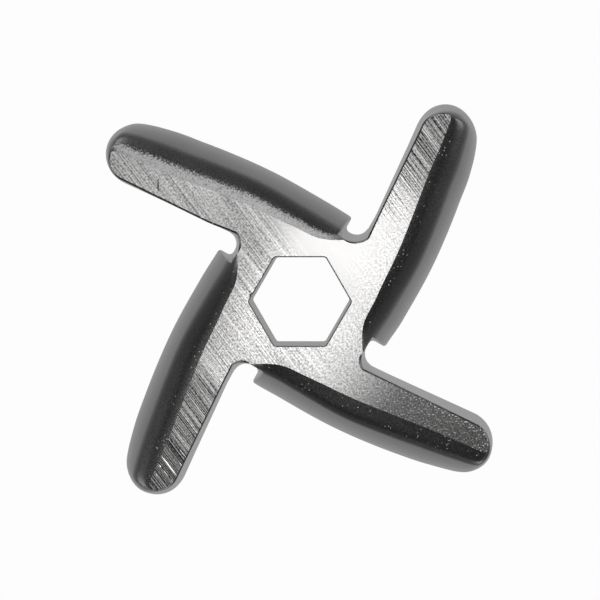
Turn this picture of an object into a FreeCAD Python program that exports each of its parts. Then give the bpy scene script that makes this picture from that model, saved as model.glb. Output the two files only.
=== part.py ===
"""Four-armed knife of a household meat grinder, one steel casting ground flat on its cutting face.

Frame: +Z is the drive axis and points out of the ground cutting face. The origin is on that axis at the back face.
X lies along two corners of the hexagonal bore and Y is square to two of its flats.

Each blade is drawn in its own (u, v) frame: u points along the blade, away from the axis, and v points to the side
that trails when the knife cuts. Depth is measured down from the cutting face.
"""
import FreeCAD, Part
import math
import os

BLADES = 4
FIRST_BLADE_ANGLE = 60.0     # direction of the first blade's u, degrees from X
THICKNESS = 8.0              # back face to cutting face

BORE_ACROSS_FLATS = 8.1      # clears an 8 mm hexagonal drive
BORE_CORNER_RADIUS = 0.35
HUB_RADIUS = 5.9             # stays inside the ground face all round

ROOT_U = -3.0                # a blade starts this far behind the axis, inside its neighbour
LEAD_SLOPE = -0.071          # the cutting edge swings forward towards the tip
LEAD_ROOT_V = (3.21, 2.99)   # cutting edge at ROOT_U: on the cutting face, on the back face

# Three rails shape the cast side of a blade: the crease beside the ground face, the ridge where the shoulder turns
# into the wall, and the rim of the back face. The tip of each is a circular arc.
TIP_CENTRE = ((19.50, 3.60), (19.68, 3.76), (20.45, 4.20))
TIP_RADIUS = (1.97, 2.15, 3.12)

# The trailing side at hand-picked stations: u, then v of the crease, of the ridge and of the back rim.
TRAIL_STATIONS = (
    (-3.00, 8.75, 8.85, 9.10),
    (-0.80, 7.05, 7.40, 9.30),
    (0.90, 6.10, 7.20, 9.38),
    (3.90, 5.70, 7.20, 9.42),
    (8.70, 5.30, 7.15, 9.32),
    (13.00, 4.68, 6.55, 8.87),
    (17.00, 4.08, 5.80, 8.20),
)
TRAIL_END = ((21.30, 3.58), (21.51, 4.89), (21.73, 7.05))

RIDGE_DEPTH = 0.35           # the shoulder falls this far from the crease to the ridge
WALL_BEND = 0.2              # part of the wall that the round under the ridge takes up
SHOULDER_SECTIONS = 6

# Gullet between a blade's cutting edge and the next blade's root, in the first blade's frame, as
# (on the cutting face, on the back face).
GULLET_END_V = (-0.33, 0.18)       # end face of the next blade's root
GULLET_WALL_U = (7.10, 7.92)       # wall towards the hub
GULLET_BEND_V = (0.85, 0.90)       # where that wall starts to curve
GULLET_EDGE = ((8.08, 2.42), (9.20, 2.13))
GULLET_BULGE = (0.25, 0.37)        # height of the curve above its chord
GULLET_CORNER_RADIUS = 0.45        # between the end face and the wall
GULLET_MOUTH_U = 14.0


def mix(pair, share):
    """Value between the cutting face's and the back face's."""
    return pair[0] + (pair[1] - pair[0]) * share


def mix_point(pair, share):
    return tuple(mix(axis, share) for axis in zip(*pair))


def blend(weights, rails):
    """Value made of these parts of the crease's, the ridge's and the back rim's."""
    return sum(weight * value for weight, value in zip(weights, rails))


def blend_point(weights, rails):
    return tuple(blend(weights, axis) for axis in zip(*rails))


def shoulder_weights(t):
    """Parts of crease, ridge and back rim at t, from 0 to 1, along a parabola from the crease into the wall."""
    crease, back = (1 - t) ** 2, t * t * WALL_BEND
    return crease, 1 - crease - back, back


def blade_outline(weights):
    """Closed outline of a blade at the depth that has these weights: root, trailing side, tip, cutting edge."""
    depth = blend(weights, (0, RIDGE_DEPTH, THICKNESS))
    z = THICKNESS - depth
    centre_u, centre_v = blend_point(weights, TIP_CENTRE)
    radius = blend(weights, TIP_RADIUS)

    def tip_point(angle):
        return FreeCAD.Vector(centre_u + radius * math.cos(angle), centre_v + radius * math.sin(angle), z)

    trail = [FreeCAD.Vector(u, blend(weights, rails), z) for u, *rails in TRAIL_STATIONS]
    end_u, end_v = blend_point(weights, TRAIL_END)
    end_angle = math.atan2(end_v - centre_v, end_u - centre_u)
    start_angle = -math.pi / 2 + math.atan(LEAD_SLOPE)
    trail_end = tip_point(end_angle)
    tip_start = tip_point(start_angle)
    root_lead = FreeCAD.Vector(ROOT_U, mix(LEAD_ROOT_V, depth / THICKNESS), z)

    side = Part.BSplineCurve()
    side.interpolate(trail + [trail_end])
    edges = [
        Part.makeLine(root_lead, trail[0]),
        side.toShape(),
        Part.Arc(trail_end, tip_point((start_angle + end_angle) / 2), tip_start).toShape(),
        Part.makeLine(tip_start, root_lead),
    ]
    return Part.Wire(edges)


def make_blade():
    """A smooth shoulder under the ground face, and a straight drafted wall under the shoulder."""
    sections = [blade_outline(shoulder_weights(i / (SHOULDER_SECTIONS - 1))) for i in range(SHOULDER_SECTIONS)]
    shoulder = Part.makeLoft(sections, True, False)
    wall = Part.makeLoft([blade_outline(shoulder_weights(1)), blade_outline((0, 0, 1))], True, True)
    return shoulder.fuse(wall)


def gullet_outline(z):
    """Closed outline of the gullet at one height; heights past either face carry its walls on."""
    share = (THICKNESS - z) / THICKNESS
    end_v = mix(GULLET_END_V, share)
    wall_u = mix(GULLET_WALL_U, share)
    edge_u, edge_v = mix_point(GULLET_EDGE, share)
    bend = FreeCAD.Vector(wall_u, mix(GULLET_BEND_V, share), z)
    edge = FreeCAD.Vector(edge_u, edge_v, z)
    chord = edge - bend
    outward = FreeCAD.Vector(-chord.y, chord.x, 0).normalize()
    crown = (bend + edge) / 2 + outward * mix(GULLET_BULGE, share)
    near_corner = GULLET_CORNER_RADIUS * (1 - math.sqrt(0.5))
    floor_end = FreeCAD.Vector(wall_u + GULLET_CORNER_RADIUS, end_v, z)
    corner = FreeCAD.Vector(wall_u + near_corner, end_v + near_corner, z)
    wall_start = FreeCAD.Vector(wall_u, end_v + GULLET_CORNER_RADIUS, z)
    mouth_end = FreeCAD.Vector(GULLET_MOUTH_U, end_v, z)
    edges = [
        Part.makeLine(mouth_end, floor_end),
        Part.Arc(floor_end, corner, wall_start).toShape(),
        Part.makeLine(wall_start, bend),
        Part.Arc(bend, crown, edge).toShape(),
        Part.makeLine(edge, mouth_end),
    ]
    return Part.Wire(edges)


def make_gullet():
    """Cutter for one gullet, a little taller than the knife on both faces."""
    return Part.makeLoft([gullet_outline(-1.0), gullet_outline(THICKNESS + 1.0)], True, True)


def make_bore():
    """Hexagonal cutter with rounded corners, corners on X."""
    corner_distance = BORE_ACROSS_FLATS / math.sqrt(3)
    corners = [
        FreeCAD.Vector(corner_distance * math.cos(math.radians(a)), corner_distance * math.sin(math.radians(a)), -1)
        for a in range(0, 361, 60)
    ]
    prism = Part.Face(Part.makePolygon(corners)).extrude(FreeCAD.Vector(0, 0, THICKNESS + 2))
    upright = [e for e in prism.Edges if abs(e.BoundBox.ZLength - THICKNESS - 2) < 0.001]
    return prism.makeFillet(BORE_CORNER_RADIUS, upright)


def around(shape, index):
    """Copy of a shape drawn in the blade frame, turned to the blade with this index."""
    turned = shape.copy()
    # v points to the right of u, so the drawing is turned over in the plane before it is rotated into place.
    turned = turned.mirror(FreeCAD.Vector(0, 0, 0), FreeCAD.Vector(0, 1, 0))
    turned.rotate(FreeCAD.Vector(0, 0, 0), FreeCAD.Vector(0, 0, 1), FIRST_BLADE_ANGLE + index * 360.0 / BLADES)
    return turned


def make_knife():
    blade, gullet = make_blade(), make_gullet()
    body = Part.makeCylinder(HUB_RADIUS, THICKNESS)
    body = body.fuse([around(blade, index) for index in range(BLADES)])
    body = body.cut([around(gullet, index) for index in range(BLADES)] + [make_bore()])
    return body.removeSplitter()


os.makedirs("parts", exist_ok=True)
knife = make_knife()
knife.exportStep("parts/knife.step")
box = knife.optimalBoundingBox()
print("knife: solids", len(knife.Solids), "faces", len(knife.Faces), "valid", knife.isValid())
print("size", round(box.XLength, 2), round(box.YLength, 2), round(box.ZLength, 2), "volume", round(knife.Volume, 1))
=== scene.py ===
"""Looks of a meat grinder knife: a ground cutting face on a dark steel casting, on a plain white floor.

Each blade is drawn in its own (u, v) frame: u points along the blade, away from the axis, and v points to the
side that trails when the knife cuts. Depth is measured down from the cutting face.
"""
import math

import bmesh
import bpy
import numpy as np
from mathutils import Matrix, Vector
from mathutils.geometry import delaunay_2d_cdt

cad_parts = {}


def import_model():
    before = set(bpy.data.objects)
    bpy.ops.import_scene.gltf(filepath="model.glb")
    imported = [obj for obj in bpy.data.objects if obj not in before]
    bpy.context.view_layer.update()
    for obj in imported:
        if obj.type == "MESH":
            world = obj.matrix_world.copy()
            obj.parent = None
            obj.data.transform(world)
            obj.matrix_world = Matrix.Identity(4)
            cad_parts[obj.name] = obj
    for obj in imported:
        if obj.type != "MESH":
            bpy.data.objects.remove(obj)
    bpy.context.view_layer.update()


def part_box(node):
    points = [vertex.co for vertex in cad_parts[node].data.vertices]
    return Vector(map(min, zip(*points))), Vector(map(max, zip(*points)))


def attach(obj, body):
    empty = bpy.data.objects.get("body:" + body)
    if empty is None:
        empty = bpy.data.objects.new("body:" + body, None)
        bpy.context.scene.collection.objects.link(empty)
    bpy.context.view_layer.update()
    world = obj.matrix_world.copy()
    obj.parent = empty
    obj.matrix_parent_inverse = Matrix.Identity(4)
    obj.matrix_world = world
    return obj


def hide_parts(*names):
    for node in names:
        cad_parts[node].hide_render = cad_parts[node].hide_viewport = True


MM = 0.001

# ---------------------------------------------------------------- driving dimensions, in millimetres
BLADES = 4
FIRST_BLADE_ANGLE = 60.0
BORE_ACROSS_FLATS = 8.1
BORE_CORNER_RADIUS = 0.35
ROOT_U = -3.0
TIP_CENTRE = ((19.50, 3.60), (19.68, 3.76), (20.45, 4.20))
TIP_RADIUS = (1.97, 2.15, 3.12)
LEAD_SLOPE = -0.071
# Trailing side: u, then v of the crease beside the ground face, of the ridge below it and of the back rim
TRAIL_STATIONS = (
    (-3.00, 8.75, 8.85, 9.10),
    (-0.80, 7.05, 7.40, 9.30),
    (0.90, 6.10, 7.20, 9.38),
    (3.90, 5.70, 7.20, 9.42),
    (8.70, 5.30, 7.15, 9.32),
    (13.00, 4.68, 6.55, 8.87),
    (17.00, 4.08, 5.80, 8.20),
)
TRAIL_END = ((21.30, 3.58), (21.51, 4.89), (21.73, 7.05))
RIDGE_DEPTH = 0.35
# Gullet between two blades, in the frame of the blade whose cutting edge bounds it: (cutting face, back face)
GULLET_END_V = (-0.33, 0.18)
GULLET_WALL_U = (7.10, 7.92)
GULLET_BEND_V = (0.85, 0.90)
GULLET_EDGE = ((8.08, 2.42), (9.20, 2.13))
GULLET_BULGE = (0.25, 0.37)
GULLET_CORNER_RADIUS = 0.45
SHORTEST_WALL = 0.05         # least length of the gullet's wall before it starts to curve
LIP_RADIUS = 0.3             # outer corner of a blade's root
CORNER_SHARES = (0.4, 0.5)   # most of the root's step that its outer and its inner corner take up

WALL_BEND = 0.2              # part of the wall that the round under the ridge takes up
WALL_BULGE = 0.45            # how much the wall bellies out, against the length of its run
TIP_TURN = (0.1, 0.75)       # part of the tip where the cutting edge's draft turns into the cast side
EDGE_ROUND = 0.15            # the ground face's rim
BACK_ROUND = 0.25            # the back face's rim
BORE_RIM = 0.09              # the bore's rim on the cutting face
BORE_BACK_CHAMFER = (0.2, 0.3)   # on the back face: across the face, down the bore

# Casting differences, blade by blade. Ridge bend is how round the ridge is. Wear is the width of the ground
# face's rim along the cutting edge and along the crease, as a multiple of the usual one.
RIDGE_BEND = (1.00, 1.00, 1.00, 0.35)
EDGE_WEAR = (1.0, 1.2, 0.9, 1.0)
CREASE_WEAR = (0.15, 0.6, 0.15, 0.15)
WEAR_TURN = (0.35, 0.95)     # part of the tip where the cutting edge's wear turns into the crease's

# How far parts of each blade's outline are out of place. A pair is (cutting face, back face).
TIP_REACH = ((-0.06, -0.02), (0.26, 0.18), (0.26, 0.26), (0.13, -0.21))   # tip, outwards
TIP_LEAN = (0.24, 0.12, 0.20, 0.04)      # back face's tip, outwards by the edge and inwards by the other side
TIP_SKEW = (-0.05, 0.00, -0.03, 0.00)    # tip, towards the trailing side
TIP_SWELL = (0.12, 0.10, 0.04, 0.03)     # trailing side just before the tip
TRAIL_SHIFT = (0.13, 0.00, 0.04, -0.08)  # trailing side
EDGE_SHIFT = ((-0.04, 0.18), (-0.19, 0.10), (0.02, 0.15), (-0.03, 0.05))  # cutting edge, into the blade
WALL_SHIFT = ((0.20, -0.12), (-0.18, 0.04), (0.04, 0.06), (0.10, 0.00))   # gullet's wall, outwards
END_SHIFT = (0.22, -0.15, -0.10, 0.05)   # root's end face, towards the tip

# Where these shifts fade in along u. The swell fades out again.
REACH_FADE = (11.0, 21.0)
LEAN_FADE = (19.5, 22.0)
SKEW_FADE = (17.5, 22.0)
SWELL_FADE, SWELL_END = (15.5, 18.5), (20.0, 22.5)
TRAIL_FADE = (0.3, 3.0)
EDGE_FADE = (8.3, 11.0)
ACROSS = (2.0, 5.5)          # v where the cutting edge's side of a blade turns into the trailing side
LEAN_CREST = 1.2             # v where the lean is greatest
LEAN_WIDTH = 5.8             # v from there to where it is as great the other way

# Small dents in the rim of the bore: (place, size)
BORE_NICKS = (((-4.42, 0.62), 0.26), ((3.28, 2.10), 0.20))
NICK_DEPTH = 0.55            # against its size

# What reflections see: the room's brightness by height, from -1 straight down to 1 straight up, and four
# windows that face the corners between the blades. The camera sees the backdrop.
STUDIO = (
    (-1.0, 0.75),
    (-0.85, 0.53),
    (-0.6, 0.31),
    (-0.3, 0.17),
    (0.1, 0.12),
    (0.4, 0.1),
    (0.65, 0.05),
    (1.0, 0.02),
)
WINDOW_HEIGHTS = (-0.3, 0.0, 0.4, 0.55)   # dark, bright, still bright, dark again
WINDOW_BRIGHTNESS = 0.9
BACKDROP = 0.98

GROUND, CAST, BORE, BACK = range(4)      # material slots of the mesh
LEVELS = 26                              # rings down the side
LEVEL_SPACING = 2.1                      # above 1, the rings are closer near the cutting face
LEAD_POINTS, TIP_POINTS, TRAIL_POINTS, GULLET_POINTS = 44, 30, 84, 44
TRAIL_SPACING = 0.85                     # below 1, the trailing side's points are closer near the root
FILLET_POINTS, ARC_POINTS, SEARCH_POINTS = 8, 18, 400
BORE_CORNER_POINTS, BORE_SIDE_POINTS, BORE_LEVELS = 7, 32, 6
SHARP_ANGLE = 32                         # edges with a greater turn are drawn sharp, in degrees


def mix(pair, share):
    """Value between the cutting face's and the back face's."""
    return pair[0] + (pair[1] - pair[0]) * share


def hermite(stations, x):
    """Smooth curve through stations (x, y), read at x."""
    xs, ys = np.array(stations, float).T
    slopes = np.gradient(ys, xs)
    i = np.clip(np.searchsorted(xs, x) - 1, 0, len(xs) - 2)
    width = xs[i + 1] - xs[i]
    t = (x - xs[i]) / width
    low = ys[i] * (1 + 2 * t) * (1 - t) ** 2 + slopes[i] * width * t * (1 - t) ** 2
    high = ys[i + 1] * t * t * (3 - 2 * t) + slopes[i + 1] * width * t * t * (t - 1)
    return low + high


def smooth(low, high, x):
    """Smooth step from 0 to 1 as x goes from low to high."""
    t = np.clip((x - low) / (high - low), 0, 1)
    return t * t * (3 - 2 * t)


def blade_place(blade, u, v):
    """Place (x, y) of a point of a blade's own frame."""
    angle = math.radians(FIRST_BLADE_ANGLE + blade * 360 / BLADES)
    return u * math.cos(angle) + v * math.sin(angle), u * math.sin(angle) - v * math.cos(angle)


# ---------------------------------------------------------------- shape
def cast_weights(depth, thickness, bend):
    """Parts of crease, ridge and back rim that give the cast side at a depth.

    Shoulder and wall run straight from crease to ridge to back rim, and a parabola rounds off the ridge. Bend
    is the part of the shoulder that it takes up. The wall bellies out a little.
    """
    start = (1 - bend) * RIDGE_DEPTH
    stop = RIDGE_DEPTH + bend * WALL_BEND * (thickness - RIDGE_DEPTH)
    if depth < start:
        crease, back = 1 - depth / RIDGE_DEPTH, 0.0
    elif depth > stop:
        crease, back = 0.0, (depth - RIDGE_DEPTH) / (thickness - RIDGE_DEPTH)
    else:
        a, b, c = start - 2 * RIDGE_DEPTH + stop, 2 * (RIDGE_DEPTH - start), start - depth
        t = (-b + math.sqrt(b * b - 4 * a * c)) / (2 * a)
        crease, back = (1 - t) ** 2 * bend, t * t * bend * WALL_BEND
    back += WALL_BULGE * back * (1 - back)
    return np.array((crease, 1 - crease - back, back))


def circle_point(centre, radius, angle):
    return np.stack((centre[0] + radius * np.cos(angle), centre[1] + radius * np.sin(angle)), -1)


def tip_arcs(count):
    """Matching points of the tip on crease, ridge and back rim, from cutting edge to trailing side."""
    start = -math.pi / 2 + math.atan(LEAD_SLOPE)
    arcs = []
    for centre, radius, end in zip(TIP_CENTRE, TIP_RADIUS, TRAIL_END):
        stop = math.atan2(end[1] - centre[1], end[0] - centre[0])
        arcs.append(circle_point(centre, radius, np.linspace(start, stop, count)))
    return np.array(arcs)


def trailing_side(weights, tip_end):
    """Stations (u, v) of the trailing side at the depth that has these weights."""
    return [(u, float(weights @ rails)) for u, *rails in TRAIL_STATIONS] + [tuple(tip_end)]


def root_corners(stations, end_u, wall_v):
    """Where the trailing side stops at the root, and the rounded corners of the step to the gullet's wall.

    Near the cutting face the trailing side meets the wall behind the root's end, and there is no step.
    """
    step = hermite(stations, end_u) - wall_v
    if step <= 0:
        behind = np.linspace(ROOT_U, end_u, SEARCH_POINTS)
        return behind[np.searchsorted(-hermite(stations, behind), -wall_v)], []
    outer, inner = (share * step for share in CORNER_SHARES)
    outer = min(LIP_RADIUS, outer)
    inner = min(GULLET_CORNER_RADIUS, inner)
    stop_u = end_u + outer
    lip = lip_corner(np.array((end_u, hermite(stations, stop_u))), outer, FILLET_POINTS)
    return stop_u, [lip, inner_corner(np.array((end_u, wall_v)), inner, FILLET_POINTS)]


def shift_casting(ring, lead, blade):
    """Moves one blade's outline by its own differences. Lead is 0 on the cutting face and 1 on the back."""
    u, v = ring.T.copy()
    across = smooth(*ACROSS, v)
    reach = mix(TIP_REACH[blade], lead) * smooth(*REACH_FADE, u)
    lean = TIP_LEAN[blade] * lead * np.cos((v - LEAN_CREST) * math.pi / LEAN_WIDTH) * smooth(*LEAN_FADE, u)
    skew = TIP_SKEW[blade] * smooth(*SKEW_FADE, u)
    swell = TIP_SWELL[blade] * across * smooth(*SWELL_FADE, u) * (1 - smooth(*SWELL_END, u))
    trail = TRAIL_SHIFT[blade] * across * smooth(*TRAIL_FADE, u)
    edge = mix(EDGE_SHIFT[blade], lead) * (1 - across) * smooth(*EDGE_FADE, u)
    ring[:, 0] += reach + lean
    ring[:, 1] += skew + swell + trail + edge


def blade_stretch(depth, thickness, blade):
    """Outline of one blade at a depth, in its own frame: cutting edge, tip, trailing side and gullet."""
    lead = depth / thickness
    straight = np.array((1 - lead, 0.0, lead))
    cast = cast_weights(depth, thickness, RIDGE_BEND[blade])
    turn = smooth(*TIP_TURN, np.linspace(0, 1, TIP_POINTS))[:, None]
    arc = np.einsum("pr,rpc->pc", straight + (cast - straight) * turn, tip_arcs(TIP_POINTS))

    edge = np.array([mix(axis, lead) for axis in zip(*GULLET_EDGE)])
    leading = edge + (arc[0] - edge) * np.linspace(0, 1, LEAD_POINTS, endpoint=False)[:, None]

    stations = trailing_side(cast, arc[-1])
    wall_v = mix(GULLET_WALL_U, lead) + mix(WALL_SHIFT[blade], lead)
    root_u, corners = root_corners(stations, END_SHIFT[blade] - mix(GULLET_END_V, lead), wall_v)
    along = 1 - np.linspace(0, 1, TRAIL_POINTS + 1)[1:] ** TRAIL_SPACING
    u = root_u + (arc[-1][0] - root_u) * along
    trailing = np.stack((u, hermite(stations, u)), -1)

    bend = np.array((min(-mix(GULLET_BEND_V, lead), root_u - SHORTEST_WALL), wall_v))
    next_edge = np.array((-edge[1], edge[0]))
    curve = bulged(bend, next_edge, mix(GULLET_BULGE, lead), ARC_POINTS)
    gullet = np.concatenate((trailing[-1:], *corners, bend[None], curve, next_edge[None]))
    ring = np.concatenate((leading, arc, trailing, evenly(gullet, GULLET_POINTS)))
    shift_casting(ring, lead, blade)
    round_corner(ring, LEAD_POINTS + TIP_POINTS - 1, 2)
    return ring


def rim_wear(blade):
    """Width of the ground face's rim round one blade and its gullet, as a multiple of the usual one."""
    edge, crease = EDGE_WEAR[blade], CREASE_WEAR[blade]
    tip = edge + (crease - edge) * smooth(*WEAR_TURN, np.linspace(0, 1, TIP_POINTS))
    along = np.linspace(0, 1, GULLET_POINTS)
    following = EDGE_WEAR[(blade - 1) % BLADES]
    gullet = crease + (1 - crease) * smooth(0.0, 0.3, along) + (following - 1) * smooth(0.5, 1.0, along)
    return np.concatenate((np.full(LEAD_POINTS, edge), tip, np.full(TRAIL_POINTS, crease), gullet))


def bulged(start, end, height, count):
    """Points of a circular arc from start to end, both left out, that rises this high above its chord."""
    chord = end - start
    half = np.linalg.norm(chord) / 2
    radius = (half * half + height * height) / (2 * height)
    along = chord / (2 * half)
    inward = np.array((along[1], -along[0]))
    centre = (start + end) / 2 + inward * (radius - height)
    spread = math.asin(half / radius)
    angles = np.linspace(-spread, spread, count + 2)[1:-1, None]
    return centre + radius * (np.sin(angles) * along - np.cos(angles) * inward)


def lip_corner(corner, radius, count):
    """Quarter circle from the trailing side, which runs along u, to the root's end face, along v."""
    turns = np.linspace(0, math.pi / 2, count)
    centre = corner + radius * np.array((1, -1))
    return centre + radius * np.stack((-np.sin(turns), np.cos(turns)), -1)


def inner_corner(corner, radius, count):
    """Quarter circle from the root's end face, which runs along v, to the wall, along u."""
    turns = np.linspace(0, math.pi / 2, count)
    centre = corner + radius * np.array((-1, 1))
    return centre + radius * np.stack((np.cos(turns), -np.sin(turns)), -1)


def evenly(path, count):
    """Points spaced evenly along a path, its start and end left out."""
    travelled = np.concatenate(([0], np.cumsum(np.linalg.norm(np.diff(path, axis=0), axis=1))))
    at = np.linspace(0, travelled[-1], count + 2)[1:-1]
    return np.stack([np.interp(at, travelled, axis) for axis in path.T], -1)


def round_corner(ring, index, reach):
    """Bends the points each side of a corner into a parabola."""
    start, corner, end = ring[index - reach].copy(), ring[index].copy(), ring[index + reach].copy()
    for step in range(-reach, reach + 1):
        t = (step + reach) / (2 * reach)
        ring[index + step] = (1 - t) ** 2 * start + 2 * t * (1 - t) * corner + t * t * end


def inward_normals(ring):
    """Unit normals into a clockwise ring."""
    ahead = np.roll(ring, -1, 0) - np.roll(ring, 1, 0)
    normal = np.stack((ahead[:, 1], -ahead[:, 0]), -1)
    return normal / np.linalg.norm(normal, axis=1)[:, None]


def knife_ring(depth, inset, wear, thickness):
    """Whole outline at a depth, clockwise seen from the cutting face, moved inwards by the inset.

    Wear is how far the inset follows the wear of the ground face's rim, from 0 to 1.
    """
    stretches, widths = [], []
    for blade in reversed(range(BLADES)):
        u, v = blade_stretch(depth, thickness, blade).T
        stretches.append(np.stack(blade_place(blade, u, v), -1))
        widths.append(inset * (1 + (rim_wear(blade) - 1) * wear))
    ring = np.concatenate(stretches)
    ring = ring + inward_normals(ring) * np.concatenate(widths)[:, None]
    return np.column_stack((ring, np.full(len(ring), thickness - depth)))


def bore_ring(depth, growth, thickness):
    """Hexagon with rounded corners, clockwise, grown by this much."""
    centre_distance = (BORE_ACROSS_FLATS / 2 - BORE_CORNER_RADIUS) / math.cos(math.pi / 6)
    radius = BORE_CORNER_RADIUS + growth
    arcs = []
    for side in range(6):
        corner = -side * math.pi / 3
        centre = (centre_distance * math.cos(corner), centre_distance * math.sin(corner))
        turns = corner + np.linspace(math.pi / 6, -math.pi / 6, BORE_CORNER_POINTS)
        arcs.append(circle_point(centre, radius, turns))
    points = []
    for arc, following in zip(arcs, arcs[1:] + arcs[:1]):
        share = np.linspace(0, 1, BORE_SIDE_POINTS + 2)[1:-1, None]
        straight = arc[-1] + (following[0] - arc[-1]) * share
        points += [arc, straight]
    ring = np.concatenate(points)
    for place, size in BORE_NICKS:
        away = np.linalg.norm(ring - np.array(place), axis=1)
        dent = NICK_DEPTH * size * np.clip(1 - (away / size) ** 2, 0, 1) * math.exp(-depth / size)
        ring += ring / np.linalg.norm(ring, axis=1)[:, None] * dent[:, None]
    return np.column_stack((ring, np.full(len(ring), thickness - depth)))


def side_levels(thickness):
    """(depth, inset, wear) of each ring of the side, with a tight rim at the face and a wider one behind."""
    rim = [(0.0, EDGE_ROUND, 1), (0.35 * EDGE_ROUND, 0.35 * EDGE_ROUND, 1)]
    last = thickness - BACK_ROUND
    spacing = np.linspace(0, 1, LEVELS + 1) ** LEVEL_SPACING
    side = [(EDGE_ROUND + (last - EDGE_ROUND) * share, 0.0, 0) for share in spacing]
    turns = np.linspace(0, math.pi / 2, 6)[1:]
    back = [(last + BACK_ROUND * math.sin(t), BACK_ROUND * (1 - math.cos(t)), 0) for t in turns]
    return rim + side + back


def bore_levels(thickness):
    """(depth, growth) of each ring of the bore, with a tight rim at the face and a chamfer behind."""
    across, down = BORE_BACK_CHAMFER
    rim = [(0, BORE_RIM), (0.3 * BORE_RIM, 0.3 * BORE_RIM)]
    run = thickness - down - BORE_RIM
    wall = [(BORE_RIM + run * i / BORE_LEVELS, 0) for i in range(BORE_LEVELS + 1)]
    return rim + wall + [(thickness, across)]


def add_tube(bm, rings, material, flip):
    """Closed bands of quads through rings of equal length; returns the first and the last ring's vertices."""
    rows = [[bm.verts.new(Vector(point) * MM) for point in ring] for ring in rings]
    for upper, lower in zip(rows, rows[1:]):
        for i in range(len(upper)):
            j = (i + 1) % len(upper)
            corners = [upper[i], upper[j], lower[j], lower[i]]
            face = bm.faces.new(corners[::-1] if flip else corners)
            face.material_index = material
    return rows[0], rows[-1]


def add_cap(bm, outer, inner, material, upwards):
    """Flat face between two rings, made of triangles."""
    corners = outer[::-1] + inner
    rings = [range(len(outer)), range(len(outer), len(corners))]
    filled = delaunay_2d_cdt([corner.co.xy / MM for corner in corners], [], rings, 2, 1e-6)
    triangles, sources = filled[2], filled[3]
    for triangle in triangles:
        around = triangle if upwards else triangle[::-1]
        face = bm.faces.new([corners[sources[i][0]] for i in around])
        face.material_index = material


def set_sharp_edges(bm):
    """Smooth shading, with sharp edges at strong turns and where two materials meet."""
    for edge in bm.edges:
        faces = edge.link_faces
        split = len({face.material_index for face in faces}) > 1
        flat = edge.calc_face_angle(0) < math.radians(SHARP_ANGLE)
        edge.smooth = flat and not split
    for face in bm.faces:
        face.smooth = True


def make_knife(thickness, materials):
    bm = bmesh.new()
    side = [knife_ring(*level, thickness) for level in side_levels(thickness)]
    bore = [bore_ring(*level, thickness) for level in bore_levels(thickness)]
    top, bottom = add_tube(bm, side, CAST, False)
    bore_top, bore_bottom = add_tube(bm, bore, BORE, True)
    add_cap(bm, top, bore_top, GROUND, True)
    add_cap(bm, bottom, bore_bottom, BACK, False)
    bmesh.ops.remove_doubles(bm, verts=bm.verts, dist=0.001 * MM)
    set_sharp_edges(bm)
    mesh = bpy.data.meshes.new("knife_body")
    bm.to_mesh(mesh)
    bm.free()
    for material in materials:
        mesh.materials.append(material)
    knife = bpy.data.objects.new("knife_body", mesh)
    bpy.context.scene.collection.objects.link(knife)
    return knife


# ---------------------------------------------------------------- materials
GRIND_ANGLE = -53.0          # direction of the grinding marks, degrees from X
POLISHED_WAY = (0.87, 0.5, 0)    # from the axis towards the part of the hub that is worn bright
# Stray marks on the ground face: blade, u, v, length, width, turn from the grinding angle, brightness added
SCRATCHES = (
    (2, 18.97, 2.81, 2.6, 0.14, 0, 1.1),
    (2, 20.00, 1.93, 0.6, 0.14, 0, 0.8),
    (2, 19.70, 2.73, 0.9, 0.12, 0, 0.7),
    (2, 19.40, 3.52, 0.3, 0.18, 0, 0.9),
    (2, 20.28, 3.40, 0.3, 0.16, 0, 0.6),
    (2, 18.35, 1.93, 0.8, 0.12, 0, 0.7),
    (2, 17.40, 2.27, 1.3, 0.12, 0, 0.8),
    (1, 16.45, 2.75, 1.5, 0.14, -35, -0.8),
)

# Painted shade and painted highlight on the ground face, standing in for the highlight falling off along a
# blade: blade, from u, to u, part painted darker (painted lighter, where below 0)
PAINTED_LIGHT_ALONG_BLADES = (
    (0, 3.0, 6.0, -0.12),
    (0, 9.5, 17.0, 0.55),
    (1, 2.0, 6.5, 0.42),
    (1, 10.0, 16.0, -0.30),
    (2, 4.0, 7.0, 0.15),
    (2, 8.8, 11.5, 0.45),
    (2, 13.0, 21.0, 0.45),
    (3, 2.0, 13.0, 0.83),
)


def add_node(tree, kind, inputs, output=0, **settings):
    """Adds a node, with each input linked or set, and returns one of its outputs."""
    made = tree.nodes.new(kind)
    for name, value in settings.items():
        setattr(made, name, value)
    for name, value in inputs.items():
        if isinstance(value, bpy.types.NodeSocket):
            tree.links.new(value, made.inputs[name])
        else:
            made.inputs[name].default_value = value
    return made.outputs[output]


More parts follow.
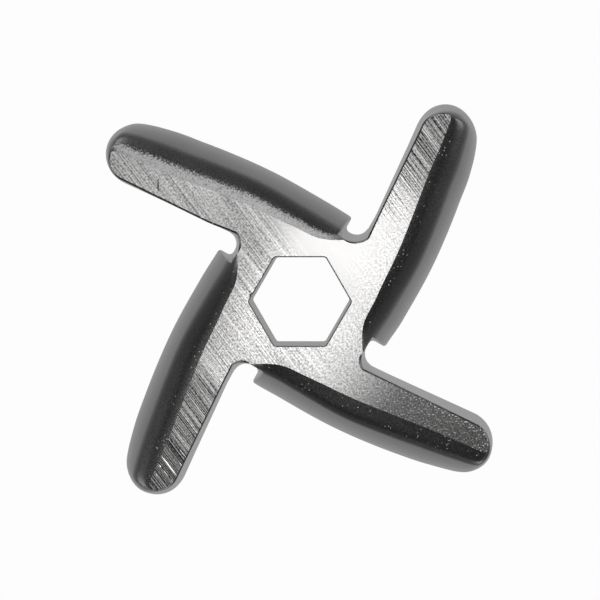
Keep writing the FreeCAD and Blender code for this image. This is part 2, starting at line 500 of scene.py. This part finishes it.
class Steel:
    """A metal material, with short calls for the nodes that drive it. Places are in millimetres."""

    def __init__(self, name, colour, roughness):
        self.material = bpy.data.materials.new(name)
        self.material.use_nodes = True
        self.tree = self.material.node_tree
        self.shader = self.tree.nodes["Principled BSDF"]
        self.shader.inputs["Metallic"].default_value = 1.0
        self.shader.inputs["Base Color"].default_value = (*colour, 1)
        self.shader.inputs["Roughness"].default_value = roughness
        self.colour = colour
        self.place = self.scaled(self.node("ShaderNodeTexCoord", {}, "Object"), 1 / MM)

    def node(self, kind, inputs, output=0, **settings):
        return add_node(self.tree, kind, inputs, output, **settings)

    def scaled(self, vector, factor):
        return self.node("ShaderNodeVectorMath", {0: vector, "Scale": factor}, operation="SCALE")

    def by_axis(self, vector, factors):
        """Vector with each axis times a factor of its own."""
        return self.node("ShaderNodeVectorMath", {0: vector, 1: factors}, operation="MULTIPLY")

    def math(self, operation, first, second):
        return self.node("ShaderNodeMath", {0: first, 1: second}, operation=operation)

    def times(self, first, second):
        return self.math("MULTIPLY", first, second)

    def plus(self, first, second):
        return self.math("ADD", first, second)

    def rest(self, share):
        """What is left of 1."""
        return self.math("SUBTRACT", 1.0, share)

    def fade(self, value, low, high, start=0.0, stop=1.0):
        """Smooth step from start to stop as value goes from low to high."""
        inputs = {"Value": value, "From Min": low, "From Max": high, "To Min": start, "To Max": stop}
        return self.node("ShaderNodeMapRange", inputs, interpolation_type="SMOOTHSTEP")

    def noise(self, vector, scale, detail=2.0, roughness=0.5):
        inputs = {"Vector": vector, "Scale": scale, "Detail": detail, "Roughness": roughness}
        return self.node("ShaderNodeTexNoise", inputs)

    def along(self, direction):
        """Distance from the axis along a direction."""
        inputs = {0: self.place, 1: direction}
        return self.node("ShaderNodeVectorMath", inputs, "Value", operation="DOT_PRODUCT")

    def stretched(self, angle, along, across):
        """Place turned so that its first axis lies along an angle, in degrees, then scaled."""
        inputs = {"Vector": self.place, "Angle": -math.radians(angle)}
        turned = self.node("ShaderNodeVectorRotate", inputs, rotation_type="Z_AXIS")
        return self.by_axis(turned, (along, across, across))

    def mark(self, centre, angle, length, width):
        """1 on a thin scratch that tapers at both ends, and 0 elsewhere."""
        turned = self.stretched(angle, 2 / length, 2 / width)
        middle = Matrix.Rotation(-math.radians(angle), 2) @ Vector(centre)
        away = (-middle.x * 2 / length, -middle.y * 2 / width, 0)
        from_middle = self.node("ShaderNodeVectorMath", {0: turned, 1: away}, operation="ADD")
        flat = self.by_axis(from_middle, (1, 1, 0))
        reach = self.node("ShaderNodeVectorMath", {0: flat}, "Value", operation="LENGTH")
        return self.fade(reach, 0.5, 1.0, 1.0, 0.0)

    def blade(self, index, low, high):
        """0 up to one distance along a blade's u and 1 beyond the other."""
        return self.fade(self.along((*blade_place(index, 1, 0), 0)), low, high)

    def shade(self, brightness):
        """Base colour times a varying brightness."""
        self.drive("Base Color", self.scaled(self.colour, brightness))

    def drive(self, name, value):
        """Links a varying value to one of the shader's inputs."""
        self.tree.links.new(value, self.shader.inputs[name])

    def bump(self, height, depth, normal=None):
        """Relief of this depth in millimetres."""
        inputs = {"Height": height, "Distance": depth * MM}
        if normal is not None:
            inputs["Normal"] = normal
        bumped = self.node("ShaderNodeBump", inputs)
        self.drive("Normal", bumped)
        return bumped


def grinding_marks(steel, texture):
    """Parallel marks in relief, and the brightness they add. Texture is 0 where the face is polished."""
    bands = steel.noise(steel.stretched(GRIND_ANGLE, 0.06, 1.8), 1.0, 1.0)
    grooves = steel.noise(steel.stretched(GRIND_ANGLE, 0.05, 7.5), 1.0, 1.0, 0.7)
    hairlines = steel.noise(steel.stretched(GRIND_ANGLE, 0.10, 8.5), 1.0, 2.0, 0.7)
    grain = steel.noise(steel.place, 5.0, 2.0, 0.8)
    first, third = (steel.blade(index, 7.0, 13.0) for index in (0, 2))
    lined = steel.times(texture, steel.rest(steel.times(steel.blade(3, 1.0, 7.0), 0.85)))
    depth = steel.plus(steel.times(first, 0.85), steel.times(third, 0.75))
    depth = steel.times(steel.plus(depth, 0.3), lined)
    relief = steel.plus(steel.times(grooves, depth), steel.times(hairlines, steel.times(lined, 0.12)))
    steel.bump(relief, 0.03, steel.bump(grain, 0.006))

    stripes = steel.fade(grooves, 0.36, 0.6, -0.62, 0.42)
    stripes = steel.times(steel.plus(stripes, steel.fade(bands, 0.35, 0.65, -0.24, 0.16)), depth)
    fine_lines = steel.times(steel.fade(hairlines, 0.3, 0.7, -0.38, 0.24), lined)
    speckle = steel.times(steel.fade(grain, 0.32, 0.68, -0.42, 0.38), texture)
    return steel.plus(steel.plus(stripes, fine_lines), speckle)


def fourth_blade_painted_glints(steel):
    """Painted glints in the grain of the fourth blade, strongest along its cutting edge and at its tip."""
    grain = steel.fade(steel.noise(steel.place, 6.0, 1.0), 0.55, 0.72)
    beside_edge = steel.rest(steel.blade(2, 1.9, 2.6))
    rim = steel.math("MAXIMUM", beside_edge, steel.blade(3, 19.5, 21.2))
    bright = steel.times(steel.blade(3, 5.0, 12.0), steel.plus(0.35, steel.times(rim, 0.75)))
    return steel.times(grain, bright)


def ground_steel():
    """Ground face: polished by the first blade's root, deep marks on the first and third blades, and grain on
    the fourth, with painted shade and painted highlight along the blades and painted glints in the fourth
    blade's grain."""
    steel = Steel("ground_steel", (0.62, 0.615, 0.61), 0.3)
    ends = steel.math("MAXIMUM", steel.blade(0, 7.0, 13.0), steel.blade(3, 1.0, 7.0))
    polished = steel.times(steel.fade(steel.along(POLISHED_WAY), 0.0, 3.2), steel.rest(ends))
    tone = steel.plus(grinding_marks(steel, steel.rest(steel.times(polished, 0.97))), 1.0)
    # Painted shade along each blade, and painted highlight where the part is below 0.
    for index, near, far, painted_darkening in PAINTED_LIGHT_ALONG_BLADES:
        tone = steel.times(tone, steel.rest(steel.times(steel.blade(index, near, far), painted_darkening)))
    # Painted glints in the fourth blade's grain.
    tone = steel.plus(tone, fourth_blade_painted_glints(steel))
    for blade, u, v, length, width, turn, brightness in SCRATCHES:
        mark = steel.mark(blade_place(blade, u, v), GRIND_ANGLE + turn, length, width)
        tone = steel.plus(tone, steel.times(mark, brightness))
    steel.shade(steel.math("MAXIMUM", tone, 0.03))
    steel.drive("Roughness", steel.fade(polished, 0.0, 1.0, 0.3, 0.33))
    return steel.material


def cast_steel():
    """Dark casting with an orange peel, a roughened shoulder on the second blade with a painted highlight on
    it, a painted highlight on the third blade's shoulder, and specks of dust that aren't metal."""
    steel = Steel("cast_steel", (0.26, 0.26, 0.262), 0.3)
    peel = steel.noise(steel.place, 2.2, 3.0)
    grit = steel.noise(steel.place, 6.0, 3.0, 0.7)
    height = steel.node("ShaderNodeSeparateXYZ", {0: steel.place}, 2)
    ragged = steel.plus(height, steel.fade(grit, 0.3, 0.7, -0.12, 0.10))
    behind_second = steel.times(steel.blade(1, -1.0, 1.0), steel.blade(0, 3.0, 4.0))
    painted_highlight_behind_third = steel.times(steel.blade(2, -1.0, 1.0), steel.blade(1, 3.0, 4.0))
    # The second blade's shoulder is roughened near the cutting face; the same mask also paints that shoulder
    # brighter below, as a painted highlight where the key light catches it.
    rough_and_painted_highlight = steel.times(behind_second, steel.fade(ragged, 7.70, 7.82))
    relief = steel.plus(steel.times(peel, 0.35), steel.times(grit, steel.fade(rough_and_painted_highlight, 0, 1, 0.12, 1.0)))
    steel.bump(relief, 0.03)
    roughness = steel.fade(grit, 0.3, 0.7, 0.25, 0.33)
    steel.drive("Roughness", steel.plus(roughness, steel.times(rough_and_painted_highlight, 0.25)))

    cells = steel.node("ShaderNodeTexVoronoi", {"Vector": steel.place, "Scale": 2.8}, "Distance")
    dusty = steel.times(steel.fade(steel.noise(steel.place, 0.8), 0.45, 0.55), steel.fade(height, 7.6, 7.8))
    dust = steel.times(steel.fade(cells, 0.12, 0.2, 1.0, 0.0), dusty)
    # Painted highlight: the second blade's roughened shoulder is painted brighter here; the dust specks are
    # real dust.
    dust_and_painted_highlight = steel.plus(steel.times(dust, 2.6), steel.times(rough_and_painted_highlight, steel.fade(grit, 0.3, 0.58, 1.1, 2.7)))
    # Painted highlight: the third blade's shoulder near the crease is painted brighter, standing in for the
    # fill light's glow.
    dust_and_painted_highlight = steel.plus(dust_and_painted_highlight, steel.times(painted_highlight_behind_third, steel.fade(height, 7.7, 7.95, 0.0, 0.9)))
    steel.shade(steel.plus(steel.fade(grit, 0.3, 0.7, 0.85, 1.15), dust_and_painted_highlight))
    steel.drive("Metallic", steel.rest(dust))
    return steel.material


def bore_steel():
    """Broached walls with marks along the axis."""
    steel = Steel("bore_steel", (0.34, 0.34, 0.34), 0.35)
    marks = steel.noise(steel.by_axis(steel.place, (9.0, 9.0, 0.5)), 1.0, 2.0)
    steel.bump(marks, 0.012)
    steel.shade(steel.fade(marks, 0.3, 0.7, 0.85, 1.1))
    return steel.material


def back_steel():
    """Plain ground back with fine marks."""
    steel = Steel("back_steel", (0.45, 0.45, 0.45), 0.38)
    marks = steel.noise(steel.stretched(GRIND_ANGLE + 80, 0.3, 6.0), 1.0, 3.0, 0.6)
    steel.bump(marks, 0.02)
    steel.shade(steel.fade(marks, 0.3, 0.7, 0.85, 1.1))
    return steel.material


# ---------------------------------------------------------------- stage
def add_floor(level):
    """Plain white floor that lights nothing; the studio's own light stands in for it in reflections."""
    mesh = bpy.data.meshes.new("floor")
    size = 1.5
    corners = [(-size, -size, level), (size, -size, level), (size, size, level), (-size, size, level)]
    mesh.from_pydata(corners, [], [(0, 1, 2, 3)])
    material = bpy.data.materials.new("floor_white")
    material.use_nodes = True
    tree = material.node_tree
    tree.nodes.clear()
    glow = tree.nodes.new("ShaderNodeEmission")
    glow.inputs["Strength"].default_value = BACKDROP
    output = tree.nodes.new("ShaderNodeOutputMaterial")
    tree.links.new(glow.outputs[0], output.inputs["Surface"])
    mesh.materials.append(material)
    floor = bpy.data.objects.new("floor", mesh)
    floor.visible_glossy = False
    floor.visible_diffuse = False
    bpy.context.scene.collection.objects.link(floor)


def room_brightness(tree, height):
    """Brightness of the room at this height."""
    along_ramp = add_node(tree, "ShaderNodeMapRange", {"Value": height, "From Min": -1.0})
    room = add_node(tree, "ShaderNodeValToRGB", {0: along_ramp})
    stops = room.node.color_ramp.elements
    for level, _ in STUDIO[1:-1]:
        stops.new((level + 1) / 2)
    for stop, (_, brightness) in zip(stops, STUDIO):
        stop.color = (brightness, brightness, brightness, 1)
    return room


def window_brightness(tree, x, y, height):
    """Brightness of the windows in this direction, which fade out to their sides, down and up."""
    turn = add_node(tree, "ShaderNodeMath", {0: y, 1: x}, operation="ARCTAN2")
    corner = math.radians(FIRST_BLADE_ANGLE - 180 / BLADES)
    inputs = {0: turn, 1: BLADES, 2: -BLADES * corner}
    turn = add_node(tree, "ShaderNodeMath", inputs, operation="MULTIPLY_ADD")
    facing = add_node(tree, "ShaderNodeMath", {0: turn}, operation="COSINE")
    foot, sill, lintel, head = WINDOW_HEIGHTS
    steps = ((facing, 0.0, 0.8, WINDOW_BRIGHTNESS), (height, foot, sill, 1), (height, head, lintel, 1))
    window = 1.0
    for value, dark, lit, brightness in steps:
        inputs = {"Value": value, "From Min": dark, "From Max": lit, "To Max": brightness}
        step = add_node(tree, "ShaderNodeMapRange", inputs, interpolation_type="SMOOTHSTEP")
        window = add_node(tree, "ShaderNodeMath", {0: window, 1: step}, operation="MULTIPLY")
    return window


def add_world():
    """White backdrop for the camera. Reflections see a dark room over a pale table, with windows round it."""
    world = bpy.data.worlds.new("studio")
    bpy.context.scene.world = world
    world.use_nodes = True
    tree = world.node_tree
    tree.nodes.clear()
    place = add_node(tree, "ShaderNodeTexCoord", {}, "Generated")
    x, y, height = (add_node(tree, "ShaderNodeSeparateXYZ", {0: place}, axis) for axis in range(3))
    parts = {0: room_brightness(tree, height), 1: window_brightness(tree, x, y, height)}
    strength = add_node(tree, "ShaderNodeMath", parts, operation="ADD")
    white = (1, 1, 1, 1)
    studio = add_node(tree, "ShaderNodeBackground", {"Color": white, "Strength": strength})
    backdrop = add_node(tree, "ShaderNodeBackground", {"Color": white, "Strength": BACKDROP})
    seen = add_node(tree, "ShaderNodeLightPath", {}, "Is Camera Ray")
    both = add_node(tree, "ShaderNodeMixShader", {0: seen, 1: studio, 2: backdrop})
    tree.links.new(both, tree.nodes.new("ShaderNodeOutputWorld").inputs["Surface"])


def add_softbox(name, place, target, size, brightness):
    """Rectangular light whose face has this brightness, where 1 is as bright as white paper."""
    light = bpy.data.lights.new(name, "AREA")
    light.shape = "RECTANGLE"
    light.size, light.size_y = size[0] * MM, size[1] * MM
    light.energy = brightness * math.pi * light.size * light.size_y
    softbox = bpy.data.objects.new(name, light)
    softbox.location = Vector(place) * MM
    softbox.rotation_euler = (Vector(place) - Vector(target)).to_track_quat("Z", "Y").to_euler()
    bpy.context.scene.collection.objects.link(softbox)


def add_camera(thickness):
    """Almost straight above the cutting face."""
    data = bpy.data.cameras.new("camera")
    camera = bpy.data.objects.new("camera", data)
    eye = Vector((2.0, 3.55, thickness + 121.0))
    aim = Vector((0.01, 0.15, thickness))
    view_width = 54.5
    data.sensor_width = 36.0
    data.lens = 36.0 * (eye - aim).length / view_width
    data.clip_start, data.clip_end = 0.01, 10
    backward = (eye - aim).normalized()
    right = Vector((0, 1, 0)).cross(backward).normalized()
    turn = Matrix((right, backward.cross(right), backward)).transposed()
    camera.matrix_world = Matrix.Translation(eye * MM) @ turn.to_4x4()
    bpy.context.scene.collection.objects.link(camera)
    bpy.context.scene.camera = camera


def main():
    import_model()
    low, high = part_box("knife")
    thickness = (high.z - low.z) / MM
    add_camera(thickness)
    add_floor(low.z)
    add_world()
    add_softbox("key", (28, 0, 300), (10, 0, 0), (80, 80), 3.3)
    add_softbox("fill", (-50, -14, 300), (-10, -5, 0), (100, 100), 1.85)
    add_softbox("back", (105, 182, 300), (0, 0, 0), (160, 80), 3.0)
    knife = make_knife(thickness, [ground_steel(), cast_steel(), bore_steel(), back_steel()])
    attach(knife, "root")
    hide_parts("knife")
    bpy.context.scene.view_settings.view_transform = "Standard"


main()
